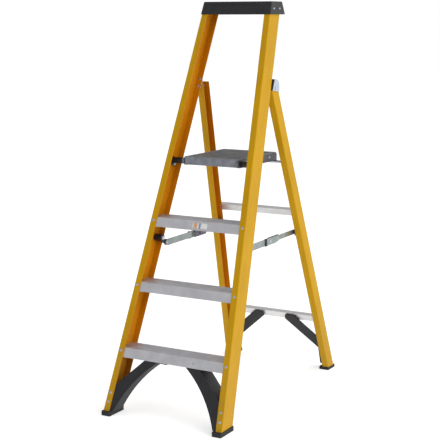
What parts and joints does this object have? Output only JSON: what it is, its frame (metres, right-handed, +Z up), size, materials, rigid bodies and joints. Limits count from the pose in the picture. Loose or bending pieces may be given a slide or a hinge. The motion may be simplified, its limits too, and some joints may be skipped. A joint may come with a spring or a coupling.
{
  "type": "platform step ladder",
  "caption": "Folding step ladder with fibreglass stiles, flat aluminium treads, a tilting platform, a top guard cap, folding side stays and braced rubber feet.",
  "frame": {"origin": "on the floor, in the middle of the ladder's footprint", "axes": "+Z up; the climbing side faces -Y and the rear frame is at +Y; X runs across the treads"},
  "size_m": [0.527, 1.0358, 1.568],
  "materials": {
    "fibreglass": "satin pultruded fibreglass",
    "tread_aluminium": "mill",
    "rail_aluminium": "mill",
    "dark_anodised": "anodised satin",
    "black_plastic": "moulded matt",
    "grey_plastic": "moulded, textured",
    "foot_rubber": "moulded",
    "zinc_steel": "zinc plated",
    "nylon": "moulded"
  },
  "bodies": {
    "front_frame": {"front_stile_left": "fibreglass", "front_stile_right": "fibreglass", "tread_lower": "tread_aluminium", "tread_middle": "tread_aluminium", "tread_upper": "tread_aluminium", "top_cap": "black_plastic", "cap_rivets": "zinc_steel", "front_frame_rivets": "zinc_steel", "front_brace_left": "black_plastic", "front_brace_right": "black_plastic", "front_shoe_left": "foot_rubber", "front_shoe_right": "foot_rubber", "hinge_pad_left": "nylon", "hinge_pad_right": "nylon", "hinge_bracket_left": "zinc_steel", "hinge_bracket_right": "zinc_steel", "hinge_bolts": "zinc_steel", "hinge_nuts": "zinc_steel", "hinge_washers": "nylon", "platform_spacer_left": "black_plastic", "platform_spacer_right": "black_plastic", "platform_pivot_pins": "zinc_steel", "front_stay_bracket_left": "black_plastic", "front_stay_bracket_right": "black_plastic", "front_stay_bolts": "zinc_steel", "front_stay_pins": "zinc_steel"},
    "rear_frame": {"rear_stile_left": "fibreglass", "rear_stile_right": "fibreglass", "rear_rail_lower": "rail_aluminium", "rear_rail_upper": "rail_aluminium", "rest_rod": "zinc_steel", "rest_rod_collars": "black_plastic", "rear_brace_left": "black_plastic", "rear_brace_right": "black_plastic", "rear_frame_rivets": "zinc_steel", "rear_shoe_left": "foot_rubber", "rear_shoe_right": "foot_rubber", "rear_stay_bracket_left": "black_plastic", "rear_stay_bracket_right": "black_plastic", "rear_stay_bolts": "zinc_steel", "rear_stay_pins": "zinc_steel", "rear_stay_spacers": "nylon"},
    "platform": {"platform_deck": "grey_plastic", "platform_side_left": "rail_aluminium", "platform_side_right": "rail_aluminium", "platform_rivets": "zinc_steel"},
    "stay_front_left": {"stay_front_link_left": "rail_aluminium", "stay_front_cover_left": "rail_aluminium", "stay_collar_left": "black_plastic", "stay_front_pin_left": "zinc_steel"},
    "stay_rear_left": {"stay_rear_link_left": "rail_aluminium", "stay_rear_cover_left": "dark_anodised", "stay_rear_pin_left": "zinc_steel"},
    "stay_front_right": {"stay_front_link_right": "rail_aluminium", "stay_front_cover_right": "rail_aluminium", "stay_collar_right": "black_plastic", "stay_front_pin_right": "zinc_steel"},
    "stay_rear_right": {"stay_rear_link_right": "rail_aluminium", "stay_rear_cover_right": "dark_anodised", "stay_rear_pin_right": "zinc_steel"}
  },
  "joints": [
    {"name": "rear_fold", "type": "hinge", "parent": "front_frame", "child": "rear_frame", "pos_m": [0, 0.08403, 1.232], "axis": [-1, 0, 0], "range_deg": [0, 38.9]},
    {"name": "platform_tilt", "type": "hinge", "parent": "front_frame", "child": "platform", "pos_m": [0, -0.10555, 0.948], "axis": [1, 0, 0], "range_deg": [0, 69.06]},
    {"name": "stay_front_fold_left", "type": "hinge", "parent": "front_frame", "child": "stay_front_left", "pos_m": [0, -0.17116, 0.627], "axis": [-1, 0, 0], "range_deg": [0, 111.48]},
    {"name": "stay_rear_fold_left", "type": "hinge", "parent": "rear_frame", "child": "stay_rear_left", "pos_m": [0, 0.26453, 0.631], "axis": [1, 0, 0], "range_deg": [0, 105.34]},
    {"name": "stay_front_fold_right", "type": "hinge", "parent": "front_frame", "child": "stay_front_right", "pos_m": [0, -0.17116, 0.627], "axis": [-1, 0, 0], "range_deg": [0, 111.48]},
    {"name": "stay_rear_fold_right", "type": "hinge", "parent": "rear_frame", "child": "stay_rear_right", "pos_m": [0, 0.26453, 0.631], "axis": [1, 0, 0], "range_deg": [0, 105.34]}
  ],
  "couplings": [
    {"joint": "platform_tilt", "follows": "rear_fold", "ratio": 1.775},
    {"joint": "stay_front_fold_left", "follows": "rear_fold", "ratio": 2.8657},
    {"joint": "stay_rear_fold_left", "follows": "rear_fold", "ratio": 2.7076},
    {"joint": "stay_front_fold_right", "follows": "rear_fold", "ratio": 2.8657},
    {"joint": "stay_rear_fold_right", "follows": "rear_fold", "ratio": 2.7076}
  ]
}
